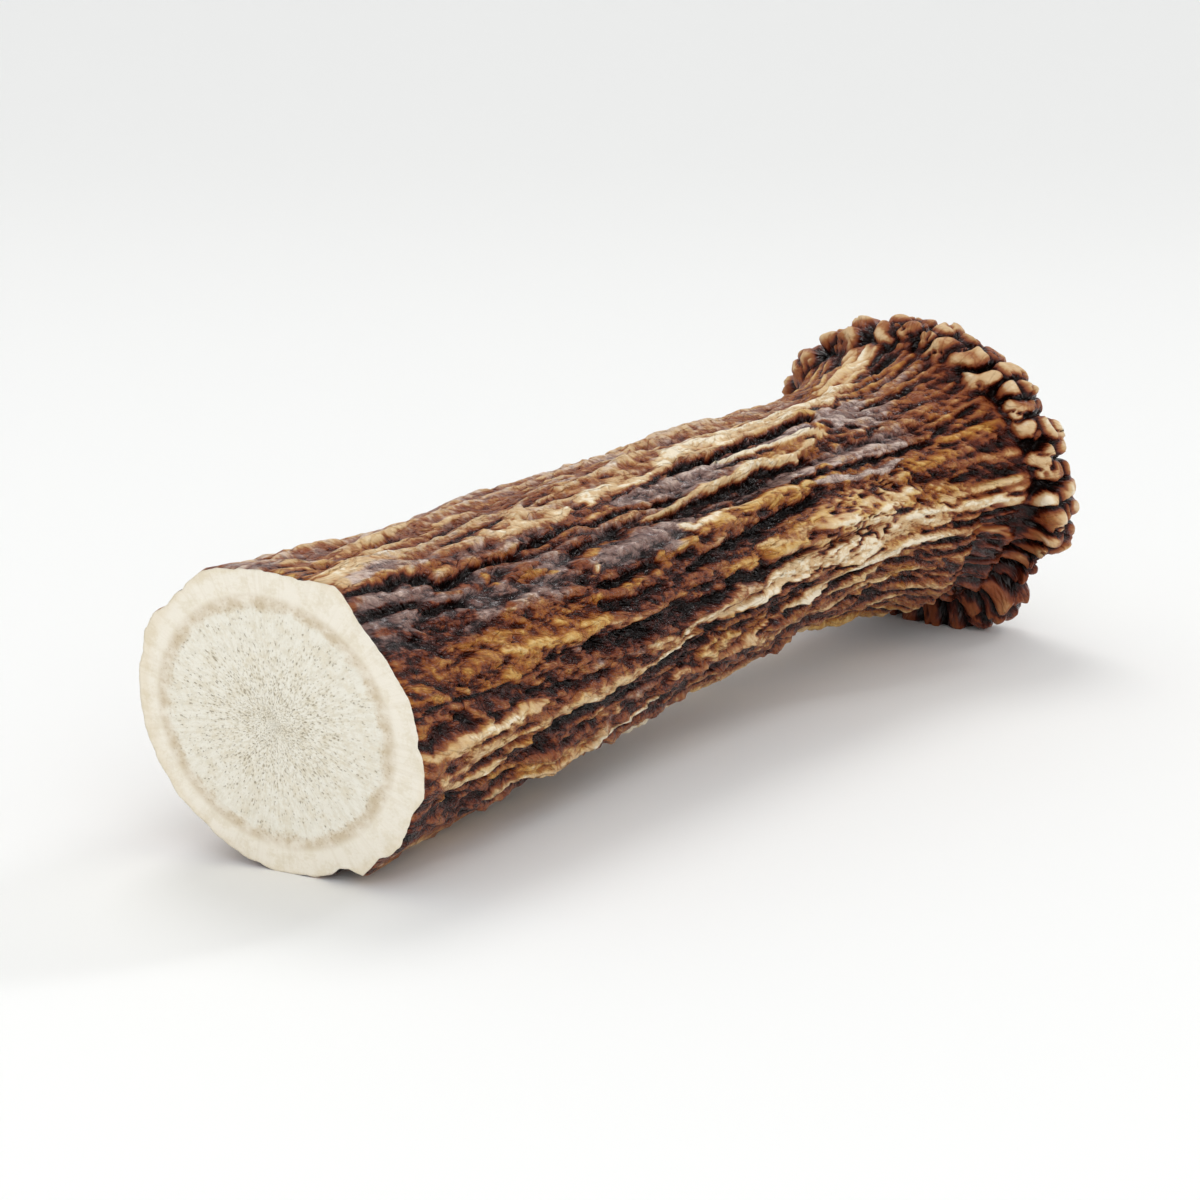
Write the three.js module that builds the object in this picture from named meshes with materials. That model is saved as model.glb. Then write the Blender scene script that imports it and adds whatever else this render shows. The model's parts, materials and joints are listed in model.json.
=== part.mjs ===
// The lowest length of a deer antler: the beam, sawn off square at one end, and the knobbly burr at the
// other. It is one grown piece of bone, and lies on its side, on its sawn rim and two knobs of its burr.
//
// Sizes are in millimetres and angles in degrees. The finished part has +Z up, +X along the antler from the
// sawn end to the burr, and its origin on the table under the middle of its bounding box.
//
// The bone is a lathed profile, whose rings are then slanted, shifted and pushed in or out, along these
// directions:
//   along   down the beam's axis, from the middle of the sawn face to the burr
//   side    to the right of the axis, looking along it (-Y in the finished part)
//   up      upwards, square to the axis
// An angle round the beam is counted from the top, towards the side.

import * as THREE from 'three';

// Driving dimensions.
const BEAM_LENGTH = 163.5; // middle of the sawn face to the middle of the burr
const SAWN_RADIUS = 20.9;
const WAIST_RADIUS = 19.4; // half way along the beam
const NECK_RADIUS = 20.2; // where the beam starts to flare into the burr
const BURR_RADIUS = 28.2;
const BURR_THICKNESS = 7;
const FLARE_LENGTH = 15; // of the neck, in front of the burr's middle
const SEAL_BULGE = 5; // of the rough seal, where the antler came away from the skull
const AXIS_RISE = 3.4; // from the sawn end up to the burr
const SAWN_HEIGHT = 20.35; // middle of the sawn face above the table

// How far the rings lean, as distance along for each millimetre to the side or up, and how far their middles
// are off the straight axis.
const SAWN_SLANT = { side: 0.118, up: -0.059 };
const BURR_SLANT = { side: -0.059, up: -0.21 };
const WAIST_OFFSET = { side: -0.7, up: -1.3 };
const BURR_OFFSET = { side: 1.35, up: -3.1 };

// The burr's knobs.
const KNOBS = 24;
const KNOB_DEPTH = 2.6; // of the clefts between them
const KNOB_UNEVENNESS = 0.45;

// How finely the surface is divided.
const COLUMNS = 4 * KNOBS;
const BEAM_ROWS = 28;
const RIM_ROWS = 6;
const SEAL_ROWS = 5;

// The sawn face's outline, as [angle, radius] going round.
const SAWN_OUTLINE = [
  [0, 20.1], [14, 20.1], [28, 21.6], [38, 20.3], [50, 19.6], [62, 19.6], [80, 20.1], [92, 20.1],
  [110, 21.3], [120, 20.4], [133, 21.4], [143, 20.8], [153, 21.5], [160, 20.0], [175, 20.6], [190, 20.9],
  [205, 21.0], [235, 21.5], [262, 21.9], [290, 21.7], [304, 21.6], [314, 20.5], [334, 21.0], [348, 20.0],
  [360, 20.1],
];
const OUTLINE_KEPT = 0.4; // share of that outline that still shows further along the beam
const OUTLINE_FADE = 60; // distance along over which the rest of it dies out

// Ridges (height above 0) and furrows (below 0) of the beam. Each follows a line of [along, angle] points,
// and is `width` wide to either side of that line.
const GRAIN = [
  { height: 0.9, width: 3.0, line: [[10, 25], [25, 22], [50, 24], [75, 17], [100, 13], [140, 16]] },
  { height: -0.9, width: 1.7, line: [[0, 33], [20, 37], [50, 35], [72, 36]] },
  { height: -1.4, width: 1.9, line: [[66, 25], [85, 22], [118, 23], [140, 21]] },
  { height: 0.6, width: 1.7, line: [[66, 38], [90, 38], [104, 42], [125, 38]] },
  { height: -0.9, width: 2.0, line: [[68, 45], [85, 45], [100, 46]] },
  { height: 0.7, width: 2.0, line: [[58, 59], [75, 54], [90, 54], [108, 58]] },
  { height: -0.8, width: 1.6, line: [[98, 50], [125, 56], [155, 57]] },
  { height: -0.9, width: 1.7, line: [[52, 66], [80, 63], [104, 61]] },
  { height: 0.6, width: 2.8, line: [[5, 70], [40, 70], [80, 72], [115, 70]] },
  { height: -1.5, width: 2.4, line: [[15, 88], [45, 84], [60, 82], [75, 81], [97, 79]] },
  { height: 0.8, width: 2.8, line: [[5, 94], [45, 98], [70, 92], [100, 88], [145, 89]] },
  { height: -1.2, width: 1.8, line: [[18, 109], [35, 104], [60, 101], [85, 97], [110, 96]] },
  { height: 0.7, width: 1.8, line: [[68, 109], [90, 105], [105, 102], [130, 101], [150, 104]] },
  { height: -0.8, width: 1.8, line: [[85, 113], [100, 108], [120, 107], [145, 107]] },
  { height: 0.7, width: 2.0, line: [[5, 116], [20, 122], [45, 126], [60, 119], [85, 118]] },
  { height: -0.9, width: 2.2, line: [[5, 125], [30, 133], [60, 129], [100, 126], [150, 124]] },
];
const GRAIN_TAPER = 9; // distance over which each line rises from nothing at either end

// The underside and the far side carry a plainer run of the same grain, evenly spread.
const FAR_GRAIN = { first: 148, last: 356, step: 13, height: 0.75, width: 2.3, sway: 4 };

const radians = THREE.MathUtils.degToRad;
const mix = THREE.MathUtils.lerp;
const smoothstep = THREE.MathUtils.smoothstep;

// The second value, at `x`, of a list of pairs that rises in its first: straight lines between the pairs.
function readOff(pairs, x) {
  const next = pairs.findIndex(([at]) => at >= x);
  if (next === -1) return pairs[pairs.length - 1][1];
  if (next === 0) return pairs[0][1];
  const [x0, y0] = pairs[next - 1];
  const [x1, y1] = pairs[next];
  return mix(y0, y1, (x - x0) / (x1 - x0));
}

function beamRadius(along) {
  const t = along / BEAM_LENGTH;
  return SAWN_RADIUS * (1 - t) * (1 - 2 * t) + WAIST_RADIUS * 4 * t * (1 - t) + NECK_RADIUS * t * (2 * t - 1);
}

// Half the section through the axis, from the middle of the sawn face round the burr to the seal's middle.
function boneProfile() {
  const profile = [new THREE.Vector2(0, 0)];
  const neck = BEAM_LENGTH - FLARE_LENGTH;
  for (let row = 0; row <= BEAM_ROWS; row += 1) {
    const along = (neck * row) / BEAM_ROWS;
    profile.push(new THREE.Vector2(beamRadius(along), along));
  }
  const rim = BURR_THICKNESS / 2;
  const flare = new THREE.QuadraticBezierCurve(
    new THREE.Vector2(beamRadius(neck), neck),
    new THREE.Vector2(NECK_RADIUS + 0.4, BEAM_LENGTH - rim - 2),
    new THREE.Vector2(BURR_RADIUS - rim - 0.6, BEAM_LENGTH - rim),
  );
  profile.push(...flare.getPoints(4).slice(1));
  for (let row = 1; row <= RIM_ROWS; row += 1) {
    const turn = radians(mix(-90, 90, row / RIM_ROWS));
    const radius = BURR_RADIUS - rim + rim * Math.cos(turn);
    profile.push(new THREE.Vector2(radius, BEAM_LENGTH + rim * Math.sin(turn)));
  }
  for (let row = 1; row <= SEAL_ROWS; row += 1) {
    const turn = radians((90 * row) / SEAL_ROWS);
    const radius = row < SEAL_ROWS ? (BURR_RADIUS - rim) * Math.cos(turn) : 0;
    profile.push(new THREE.Vector2(radius, BEAM_LENGTH + rim + SEAL_BULGE * Math.sin(turn)));
  }
  return profile;
}

// How far a ridge or furrow along `line` lifts the surface at a point of the beam.
function lineRelief({ height, width, line }, along, angle) {
  const start = line[0][0];
  const end = line[line.length - 1][0];
  const rise = smoothstep(along, start - GRAIN_TAPER, start);
  const fall = 1 - smoothstep(along, end, end + GRAIN_TAPER);
  const turn = THREE.MathUtils.euclideanModulo(angle - readOff(line, along) + 180, 360) - 180;
  const distance = radians(turn) * beamRadius(along);
  return height * rise * fall * Math.exp(-((distance / width) ** 2));
}

function farGrain() {
  const lines = [];
  for (let angle = FAR_GRAIN.first, n = 0; angle <= FAR_GRAIN.last; angle += FAR_GRAIN.step, n += 1) {
    const line = [];
    for (let along = 0; along <= BEAM_LENGTH; along += BEAM_LENGTH / 8) {
      line.push([along, angle + FAR_GRAIN.sway * Math.sin(along / 24 + 1.9 * n)]);
    }
    lines.push({ height: FAR_GRAIN.height * (n % 2 ? 1 : -1), width: FAR_GRAIN.width, line });
  }
  return lines;
}

const grain = [...GRAIN, ...farGrain()];

// How far the beam's surface stands off its plain round, with the sawn outline strongest at the sawn end.
function beamRelief(along, angle) {
  const kept = mix(1, OUTLINE_KEPT, smoothstep(along, 0, OUTLINE_FADE));
  const outline = kept * (readOff(SAWN_OUTLINE, angle) - SAWN_RADIUS);
  const flare = smoothstep(along, BEAM_LENGTH - 1.4 * FLARE_LENGTH, BEAM_LENGTH - 0.6 * FLARE_LENGTH);
  const lines = grain.reduce((sum, line) => sum + lineRelief(line, along, angle), 0);
  return (outline + lines * smoothstep(along, 0, GRAIN_TAPER)) * (1 - flare);
}

// The clefts between the burr's knobs bite deeper the further out they are.
function burrRelief(radius, angle) {
  const reach = smoothstep(radius, NECK_RADIUS + 0.5, BURR_RADIUS - 1);
  const phase = (KNOBS * angle) / 360 + 0.12 * Math.sin(radians(3 * angle));
  const cleft = 1 - Math.abs(Math.sin(Math.PI * phase)) ** 0.6;
  const uneven = KNOB_UNEVENNESS * Math.sin(radians(7 * angle) + 1);
  return reach * (uneven - KNOB_DEPTH * cleft);
}

// Moves one point of the lathed round to its place on the antler.
function growPoint(point) {
  const along = point.y;
  const plainRadius = Math.hypot(point.x, point.z);
  const turn = Math.atan2(point.x, point.z);
  const angle = THREE.MathUtils.euclideanModulo(THREE.MathUtils.radToDeg(turn), 360);

  const relief = plainRadius > 0 ? beamRelief(along, angle) + burrRelief(plainRadius, angle) : 0;
  const side = (plainRadius + relief) * Math.sin(turn);
  const up = (plainRadius + relief) * Math.cos(turn);

  const t = Math.min(along / BEAM_LENGTH, 1);
  const waist = 4 * t * (1 - t);
  const sawnShare = 1 - smoothstep(along, 0, BEAM_LENGTH / 4);
  const burrShare = smoothstep(along, BEAM_LENGTH * 0.66, BEAM_LENGTH - BURR_THICKNESS);
  const slantSide = SAWN_SLANT.side * sawnShare + BURR_SLANT.side * burrShare;
  const slantUp = SAWN_SLANT.up * sawnShare + BURR_SLANT.up * burrShare;

  point.x = side + WAIST_OFFSET.side * waist + BURR_OFFSET.side * burrShare;
  point.y = along + slantSide * side + slantUp * up;
  point.z = up + WAIST_OFFSET.up * waist + BURR_OFFSET.up * burrShare;

  // What would reach below the table is worn flat there, in the plane of its own ring.
  const rise = radians(AXIS_RISE);
  const height = SAWN_HEIGHT + point.y * Math.sin(rise) + point.z * Math.cos(rise);
  const lift = Math.max(0, -height) / (Math.cos(rise) + slantUp * Math.sin(rise));
  point.z += lift;
  point.y += slantUp * lift;
  return point;
}

function antlerGeometry() {
  const geometry = new THREE.LatheGeometry(boneProfile(), COLUMNS);
  const places = geometry.attributes.position;
  const point = new THREE.Vector3();
  for (let i = 0; i < places.count; i += 1) {
    growPoint(point.fromBufferAttribute(places, i));
    places.setXYZ(i, point.x, point.y, point.z);
  }
  geometry.computeVertexNormals();
  return geometry;
}

const bone = new THREE.MeshStandardMaterial({ color: 0x9a7650, roughness: 0.55, metalness: 0 });

const antler = new THREE.Mesh(antlerGeometry(), bone);
antler.name = 'antler';
antler.rotation.set(0, -radians(AXIS_RISE), -Math.PI / 2);
antler.position.z = SAWN_HEIGHT;

const part = new THREE.Group();
part.add(antler);

const middle = new THREE.Box3().setFromObject(part, true).getCenter(new THREE.Vector3());
antler.position.x -= middle.x;
antler.position.y -= middle.y;

export default part;
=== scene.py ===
# The sawn-off base of a deer antler, lying on its side on a pale table.
# The beam is built first, then the burr, the grown surface and the two ends, and then their finishes. The
# antler's sizes are in millimetres and degrees, and its points turn into metres when its mesh is made.

import json
import math
from functools import partial

import bpy
import numpy as np
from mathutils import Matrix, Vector


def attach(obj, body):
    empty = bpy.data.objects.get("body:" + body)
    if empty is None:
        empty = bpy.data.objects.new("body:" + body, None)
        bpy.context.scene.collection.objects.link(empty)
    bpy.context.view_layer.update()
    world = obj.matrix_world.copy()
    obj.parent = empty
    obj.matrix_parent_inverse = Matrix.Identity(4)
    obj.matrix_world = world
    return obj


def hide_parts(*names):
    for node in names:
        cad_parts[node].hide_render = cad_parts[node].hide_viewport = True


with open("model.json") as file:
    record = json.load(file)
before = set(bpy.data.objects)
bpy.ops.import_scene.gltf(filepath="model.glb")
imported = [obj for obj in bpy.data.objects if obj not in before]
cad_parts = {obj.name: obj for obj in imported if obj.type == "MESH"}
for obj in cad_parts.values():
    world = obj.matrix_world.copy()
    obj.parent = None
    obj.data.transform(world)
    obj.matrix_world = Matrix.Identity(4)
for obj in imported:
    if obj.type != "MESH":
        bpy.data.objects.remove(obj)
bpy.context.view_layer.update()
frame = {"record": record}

# ---- The beam ----
# The antler's shaft: bone that grew in one piece, sawn off a little askew. It is a tube of rings round an
# axis that rises towards the burr. An angle round it is counted from the top, towards the right-hand side of
# someone who looks from the sawn end to the burr.
BEAM_LENGTH = 163.5
SAWN_RADIUS, WAIST_RADIUS, NECK_RADIUS = 20.9, 19.4, 20.2
AXIS_RISE = 3.4
SAWN_SLANT = (0.118, -0.059)  # distance along the axis for each millimetre to the side, and up
SAWN_SLANT_REACH = BEAM_LENGTH / 4
BURR_SLANT = (-0.059, -0.21)
BURR_SLANT_REACH = (BEAM_LENGTH * 0.66, BEAM_LENGTH - 7)  # it grows from the first to the second
WAIST_OFFSET = (-0.7, -1.3)  # of the rings' middles, to the side and up
BURR_OFFSET = (1.35, -3.1)
SAWN_MIDDLE = np.array(frame["record"]["mounts"][0]["pos_m"]) * 1000
SAWN_OUTLINE = [
    (0, 20.1), (14, 20.1), (23, 20.9), (28, 21.6), (32, 21.2), (38, 20.3), (45, 19.7), (58, 19.6), (66, 19.7),
    (74, 20.1), (92, 20.0), (100, 20.6), (110, 21.3), (119, 20.4), (124, 20.7), (132, 21.4), (138, 21.2),
    (143, 20.7), (148, 21.1), (153, 21.5), (157, 20.2), (161, 19.9), (166, 20.5), (175, 20.6), (190, 20.9),
    (205, 21.0), (214, 20.9), (225, 21.1), (235, 21.6), (243, 21.3), (252, 21.8), (262, 21.9), (278, 22.0),
    (289, 21.7), (297, 22.2), (305, 21.9), (312, 21.0), (318, 21.2), (326, 21.1), (334, 21.4), (340, 21.1),
    (346, 20.4), (360, 20.2),
]

# The surface is a grid: rows run round the antler, and columns along it, which are closer together on the
# furrowed side.
COLUMNS = 384
BEAM_ROW = 0.92
FINER_SIDE, FINER_BY = 57, 0.4
ring_share = np.arange(COLUMNS) / COLUMNS * 360
spread = np.linspace(0, 360, 1441)
finer = np.degrees(FINER_BY * (np.sin(np.radians(spread - FINER_SIDE)) + math.sin(math.radians(FINER_SIDE))))
angle = np.interp(ring_share, spread + finer, spread)
turn = np.radians(angle)


def ease(value, low, high):
    """0 below low and 1 above high, with a smooth rise between them."""
    t = np.clip((value - low) / (high - low), 0, 1)
    return t * t * (3 - 2 * t)


def within(value, low, full, fade, high):
    """1 from full to fade and 0 outside low and high, with smooth slopes between them."""
    return ease(value, low, full) * (1 - ease(value, fade, high))


def beam_radius(along):
    """The beam's radius before anything lifts or sinks it, on a curve through its three radii."""
    t = along / BEAM_LENGTH
    from_ends = SAWN_RADIUS * (1 - t) * (1 - 2 * t) + NECK_RADIUS * t * (2 * t - 1)
    return from_ends + WAIST_RADIUS * 4 * t * (1 - t)


def placed(along, radius, turn):
    """Part-frame points, in millimetres, for places given along the axis, out from it and round it."""
    side, up = radius * np.sin(turn), radius * np.cos(turn)
    t = np.clip(along / BEAM_LENGTH, 0, 1)
    waist = 4 * t * (1 - t)
    sawn = 1 - ease(along, 0, SAWN_SLANT_REACH)
    burr = ease(along, *BURR_SLANT_REACH)
    slant_side = SAWN_SLANT[0] * sawn + BURR_SLANT[0] * burr
    slant_up = SAWN_SLANT[1] * sawn + BURR_SLANT[1] * burr
    x = along + slant_side * side + slant_up * up
    side = side + WAIST_OFFSET[0] * waist + BURR_OFFSET[0] * burr
    up = up + WAIST_OFFSET[1] * waist + BURR_OFFSET[1] * burr
    rise = math.radians(AXIS_RISE)
    height = SAWN_MIDDLE[2] + x * math.sin(rise) + up * math.cos(rise)
    lift = np.maximum(0, -height) / (math.cos(rise) + slant_up * math.sin(rise))  # worn flat on the table
    x, up = x + slant_up * lift, up + lift
    return np.stack([
        SAWN_MIDDLE[0] + x * math.cos(rise) - up * math.sin(rise),
        SAWN_MIDDLE[1] - side,
        SAWN_MIDDLE[2] + x * math.sin(rise) + up * math.cos(rise),
    ], axis=-1)


# ---- The burr's section ----
# The ring of bone at the antler's foot, where it sat on the skull. The neck flares into it, its rim hangs a
# little over the neck, and behind it is the low rough dome of the seal. These are [radius, distance from the
# burr's middle] over the crowns of its knobs.
BURR_RADIUS = 28.2
NECK_END = 34
RIM_SECTION = [
    (NECK_RADIUS, -NECK_END), (20.5, -27), (21.1, -20), (22.0, -14), (23.2, -9.6), (24.5, -6.8), (25.8, -5.2),
    (27.1, -4.2), (28.0, -2.6), (BURR_RADIUS, 0), (27.8, 2.2), (26.7, 3.8), (25.0, 4.3), (22.8, 4.5),
]
SEAL_BULGE = 4.0
RIM_ROWS, SEAL_ROWS = 76, 12


def smooth_path(points, count):
    """`count` points along a smooth curve through `points`, evenly spaced."""
    points = np.array(points, float)
    ends = np.vstack([2 * points[0] - points[1], points, 2 * points[-1] - points[-2]])
    t = np.linspace(0, 1, 17)[:-1, None]
    curve = []
    for a, b, c, d in zip(ends, ends[1:], ends[2:], ends[3:]):
        squared, cubed = 2 * a - 5 * b + 4 * c - d, 3 * b - a - 3 * c + d
        curve.append(0.5 * (2 * b + (c - a) * t + squared * t**2 + cubed * t**3))
    curve = np.vstack(curve + [points[-1:]])
    run = np.r_[0, np.cumsum(np.linalg.norm(np.diff(curve, axis=0), axis=1))]
    even = np.linspace(0, run[-1], count)
    return np.stack([np.interp(even, run, curve[:, k]) for k in range(2)], axis=1)


beam_along = np.linspace(0, BEAM_LENGTH - NECK_END, round((BEAM_LENGTH - NECK_END) / BEAM_ROW))
beam_part = np.stack([beam_radius(beam_along), beam_along], axis=1)
rim_part = smooth_path(RIM_SECTION, RIM_ROWS + 1)[1:] + (0, BEAM_LENGTH)
rim_part[:, 0] += (beam_part[-1, 0] - NECK_RADIUS) * np.linspace(1, 0, RIM_ROWS)
dome = np.radians(np.linspace(0, 88, SEAL_ROWS + 1)[1:])
seal_part = rim_part[-1] + np.stack([rim_part[-1, 0] * (np.cos(dome) - 1), SEAL_BULGE * np.sin(dome)], axis=1)
section = np.vstack([beam_part, rim_part, seal_part])

along_section = np.gradient(section, axis=0)
along_section /= np.linalg.norm(along_section, axis=1)[:, None]
outward = np.stack([along_section[:, 1], -along_section[:, 0]], axis=1)  # square to the section
# How far each ring is along the skin, which on the beam is its place along the axis.
travel = np.r_[0, np.cumsum(np.linalg.norm(np.diff(section, axis=0), axis=1))]
past_crown = travel - travel[section[:, 0].argmax()]  # from the rim's widest ring, towards the seal

# ---- The grown surface ----
# Everything that lifts or sinks the skin, and what colours it: fine noise for the bone's own unevenness, and
# strokes that lie where the ridges, furrows and stains of this antler lie.
SKIN_RADIUS = 20.5  # at which an angle is turned into a width
DEGREE = SKIN_RADIUS * math.radians(1)
WRINKLE_TWIST = 1.1
rows = len(section)
skin_along, skin_angle = np.meshgrid(travel, angle, indexing="ij")


def wound(twist):
    """The skin's points on a straight cylinder, wound round it by `twist` degrees for each millimetre."""
    around = np.radians(skin_angle - twist * skin_along)
    return np.stack([skin_along, SKIN_RADIUS * np.sin(around), SKIN_RADIUS * np.cos(around)], axis=-1)


# The noise has a slope at each corner of its cells, picked from these by mixing up the corner's place.
dice = np.random.default_rng(41)
SLOPES = 256
CELL_FACTORS = (73856093, 19349663, 83492791)
SEED_FACTOR, MIXING_FACTOR = 7919, 2246822519
NOISE_GAIN = 1.7
slopes = dice.normal(size=(SLOPES, 3))
slopes /= np.linalg.norm(slopes, axis=1)[:, None]


def noise(place, seed):
    """Smooth noise, about -1 to 1, whose lumps are one unit across."""
    cell = np.floor(place).astype(np.int64)
    part = place - cell
    weight = part**3 * (part * (part * 6 - 15) + 10)
    total = np.zeros(place.shape[:-1])
    for corner in np.ndindex(2, 2, 2):
        key = ((cell + corner) * CELL_FACTORS).sum(axis=-1) + seed * SEED_FACTOR
        key = (key ^ (key >> 15)) * MIXING_FACTOR & 0xFFFFFFFF
        slope = slopes[(key ^ (key >> 13)) % SLOPES]
        share = np.where(corner, weight, 1 - weight).prod(axis=-1)
        total += share * ((part - corner) * slope).sum(axis=-1)
    return NOISE_GAIN * total


def bone_noise(length, width, seed, octaves=3, twist=0.0):
    """Noise over the whole skin. Its lumps are `length` along the antler and `width` round it, and wind round
    it by `twist` degrees for each millimetre along it."""
    total = np.zeros(skin_along.shape)
    place = wound(twist) / (length, width, width)
    for n in range(octaves):
        total += noise(place * 2**n, seed + n) * 0.5**n
    return total


def lumps(length, width, seed, octaves=2, twist=0.0):
    """Rounded lumps with sharp creases between them: about -0.5 in a crease, and up to 1 on a lump."""
    return 2.4 * np.abs(bone_noise(length, width, seed, octaves, twist)) - 0.5


# Strokes follow a slightly wandering copy of the skin's coordinates, so that none of their edges is straight.
wander_along = skin_along + 1.5 * bone_noise(9, 4, 11) + 0.6 * bone_noise(2.2, 1.6, 21, 2)
wander_arc = skin_angle * DEGREE + 0.50 * bone_noise(11, 5, 31) + 0.40 * bone_noise(3.6, 1.8, 41, 2)
# The lines are given as on a straight round beam: they slide up where it is flatter, and down on its flare.
slid = -2 * within(skin_angle, 50, 70, 125, 160)
slid -= 7 * within(skin_angle, 88, 125, 140, 175) * np.interp(
    travel, (15, 45, 75, 110, 135), (0, 0.4, 1, 1, 0))[:, None]
slid += (1 - ease(skin_angle, 140, 175) + ease(skin_angle, 300, 340)) * np.interp(
    travel, (112, 125, 139, 150), (0, 3, 7.5, 10))[:, None]
wander_arc += DEGREE * slid
TIP_WIDTH = 0.4  # of a line's width in its middle
FAR_OFF = 99.0


def across(points, width):
    """How far each skin point is from the line through `points`, in widths of the line there. A point is
    (along, angle)."""
    line = np.array(points, float) * (1, DEGREE)
    middle = line[:, 1].mean()
    arc = (wander_arc - middle + 180 * DEGREE) % (360 * DEGREE) + middle - 180 * DEGREE
    reach = 3 * width
    near = (wander_along > line[:, 0].min() - reach) & (wander_along < line[:, 0].max() + reach)
    near &= (arc > line[:, 1].min() - reach) & (arc < line[:, 1].max() + reach)
    spot = np.stack([wander_along[near], arc[near]], axis=-1)
    steps = np.linalg.norm(np.diff(line, axis=0), axis=1)
    run = np.r_[0, np.cumsum(steps)] / steps.sum()
    best = np.full(len(spot), FAR_OFF)
    for a, b, start, end in zip(line, line[1:], run, run[1:]):
        t = np.clip((spot - a) @ (b - a) / ((b - a) @ (b - a)), 0, 1)
        gap = np.linalg.norm(spot - a - t[:, None] * (b - a), axis=1)
        share = np.clip(start + t * (end - start), 0.001, 0.999)
        fullness = TIP_WIDTH + (1 - TIP_WIDTH) * np.sqrt(np.sin(math.pi * share))
        best = np.minimum(best, gap / (width * fullness))
    distance = np.full(skin_along.shape, FAR_OFF)
    distance[near] = best
    return distance


# A tone is (how pale, how amber, how cool).
TONES = {
    "umber": (0.33, 0.35, 0.05),
    "bronze": (0.31, 0.25, 0.12),
    "ash": (0.27, 0.05, 0.45),
    "mauve": (0.56, 0.0, 0.85),
    "lilac": (0.61, 0.0, 0.85),
    "plum": (0.365, 0.0, 0.85),
    "rose": (0.61, 0.05, 0.55),
    "amber": (0.47, 1.0, 0.0),
    "honey": (0.70, 0.6, 0.0),
    "slate": (0.15, 0.1, 0.1),
    "maroon": (0.24, 0.2, 0.0),
    "fawn": (0.69, 0.35, 0.0),
    "buff": (0.66, 0.0, 0.35),
    "cream": (0.90, 0.2, 0.0),
}
relief = np.zeros(skin_along.shape)
tone = np.zeros((*skin_along.shape, 3)) + TONES["umber"]


def paint(name, share):
    """Moves the skin's tone towards the named one by `share` of the way."""
    global tone
    tone = tone + (np.array(TONES[name]) - tone) * np.broadcast_to(share, skin_along.shape)[..., None]


STROKE_LIFT, STROKE_STEEPNESS = 1.15, 1.7
STAIN_EDGE = (0.6, 1.25)  # in widths of the stroke


def stroke(name, width, height, points, strength=1.0):
    """A ridge (height above 0) or furrow (below 0), stained with a tone."""
    global relief
    distance = across(points, width)
    relief = relief + STROKE_LIFT * height * np.exp(-(distance**STROKE_STEEPNESS))
    paint(name, strength * (1 - ease(distance, *STAIN_EDGE)))


# Each tone's own stroke, such as slate(width, height, points, strength).
umber, bronze, ash, mauve, lilac, plum, rose, amber, honey, slate, maroon, fawn, buff, cream = (
    partial(stroke, name) for name in TONES
)

# The plain skin: long ridges over amber, umber and brown-pink patches.
ridges = lumps(46, 7.0, 101)
threads = lumps(20, 2.8, 111)
relief += 0.8 * ridges + 0.3 * threads + 0.25 * bone_noise(9, 5, 121)
patches = bone_noise(34, 9, 141)
raised = ridges + 0.35 * threads + 0.4 * bone_noise(18, 5, 151)
furrowed = ease(skin_angle, 270, 290) + 1 - ease(skin_angle, 120, 140)
paint("amber", 0.8 * ease(patches, 0.0, 0.5))
paint("mauve", 0.6 * ease(-patches, 0.1, 0.6))
paint("slate", (0.85 - 0.55 * furrowed) * ease(-ridges - 0.3 * threads, 0.0, 0.45))
paint("fawn", (0.8 - 0.45 * furrowed) * ease(raised, 0.3, 0.9))

# The far side and the underside carry the same kinds of line as the furrowed side, at places of their own.
FAR_LINES = 34
FAR_TONES = ("slate", "fawn", "slate", "cream", "amber")
for n in range(FAR_LINES):
    start, heading = dice.uniform(-5, 120), dice.uniform(150, 345)
    length = dice.uniform(25, 75)
    bend = dice.uniform(-5, 5, 3)
    line = [(start + length * k / 3, heading + b) for k, b in enumerate((0, *bend))]
    kind = FAR_TONES[n % len(FAR_TONES)]
    deep = -0.9 if kind == "slate" else 0.55
    stroke(kind, dice.uniform(0.5, 1.3), deep * dice.uniform(0.6, 1.2), line, 0.85)

# The upper side: dull brown-pink, worn smooth, with fine pale edges.
rose(15, 0, [(-10, -24), (60, -24), (130, -22)], 0.75)
fawn(0.5, 0.25, [(2, 6), (14, 8), (26, 4), (45, -4), (62, -3)], 0.6)
fawn(0.45, 0.25, [(4, -1), (18, -1), (30, -6)], 0.7)
fawn(0.6, 0.2, [(10, 12), (22, 11), (30, 5)], 0.5)
slate(0.7, -0.3, [(26, 11), (34, 6), (44, 10), (56, 9)], 0.5)
fawn(0.5, 0.2, [(66, -3), (76, -5), (90, -1)], 0.6)
slate(0.5, -0.2, [(72, 3), (84, 6), (92, 3)], 0.4)

# The pale crest, from the sawn end's corner to the burr.
buff(2.7, 0.5, [(-3, 25), (12, 25), (30, 22), (50, 22), (74, 17), (90, 12)], 0.8)
buff(2.4, 0, [(84, 14), (100, 13), (120, 13), (141, 13)], 0.9)
buff(0.5, 0.45, [(-2, 19), (12, 19.5), (20, 19), (26, 15.5), (35, 14), (45, 12.5)])
buff(0.45, 0.35, [(43, 12.5), (56, 11), (70, 9), (78, 6), (88, 2)])
cream(1.4, 0, [(-2, 25), (4, 24), (9, 27)], 0.6)
cream(0.8, 0.15, [(34, 26.5), (39, 25.5), (44, 27)], 0.6)
cream(0.7, 0.15, [(45, 28), (48, 26.5), (51, 24)], 0.8)
cream(1.3, 0.15, [(54, 26), (57, 23), (60, 21)])
cream(0.9, 0.1, [(66, 24), (72, 23.5)], 0.6)
cream(1.3, 0.1, [(59, 21), (65, 19), (73, 21)], 0.9)
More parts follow.
